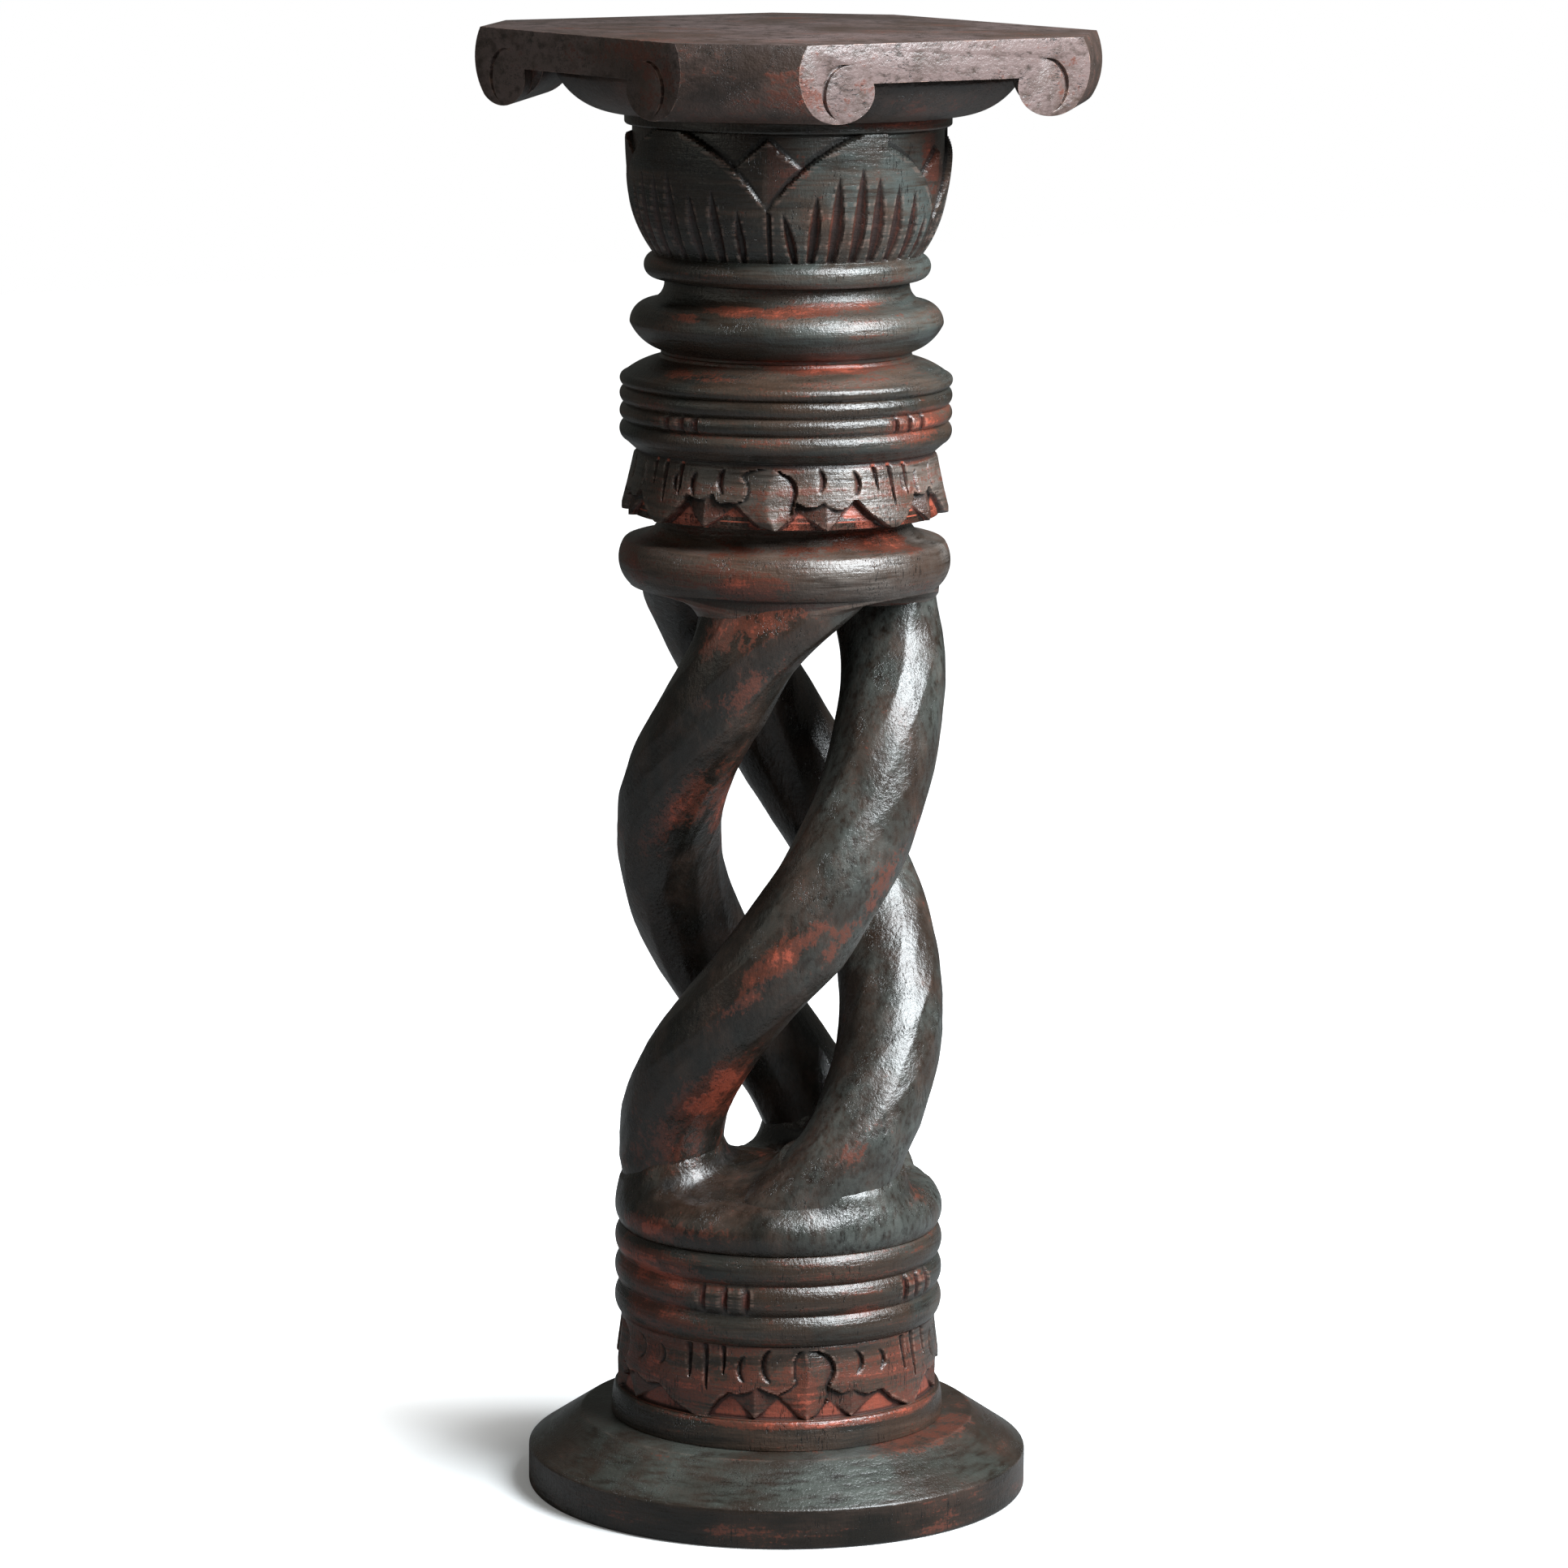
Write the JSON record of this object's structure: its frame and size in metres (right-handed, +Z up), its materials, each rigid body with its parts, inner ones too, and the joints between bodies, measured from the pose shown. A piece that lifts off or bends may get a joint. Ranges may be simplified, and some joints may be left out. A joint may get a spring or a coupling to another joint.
{
  "type": "pedestal column stand",
  "caption": "Tall carved hardwood pedestal with a square scrolled top, an open twisted column and a round plinth, for a plant, lamp or sculpture.",
  "frame": {"origin": "middle of the plinth's underside, on the floor", "axes": "+Z up the column; the sides of the square top lie along X and Y"},
  "size_m": [0.311, 0.311, 0.9],
  "materials": {
    "column_wood": "carved, dark stain rubbed through to red-brown, satin wax",
    "strand_wood": "hand-gouged, dark stain rubbed through to red-brown, satin wax",
    "top_wood": "dark stain worn to grey-brown streaks, satin",
    "plinth_wood": "dark grey-green stain, satin",
    "dowel_wood": "bare hardwood, glued",
    "screw_steel": "zinc plated"
  },
  "bodies": {
    "root": {"plinth": "plinth_wood", "foot_moulding": "column_wood", "lotus_band": "column_wood", "reeded_drum": "column_wood", "drum_cap": "column_wood", "twist_strand_1": "strand_wood", "twist_strand_2": "strand_wood", "twist_strand_3": "strand_wood", "upper_disc": "column_wood", "petal_collar": "column_wood", "reeded_collar": "column_wood", "torus_section": "column_wood", "capital": "column_wood", "neck_ring": "column_wood", "bearer_bowl": "column_wood", "top_slab": "top_wood", "drum_dowel": "dowel_wood", "collar_dowel": "dowel_wood", "capital_dowel": "dowel_wood", "slab_screws": "screw_steel", "plinth_screws": "screw_steel", "plinth_washers": "screw_steel"}
  },
  "joints": []
}
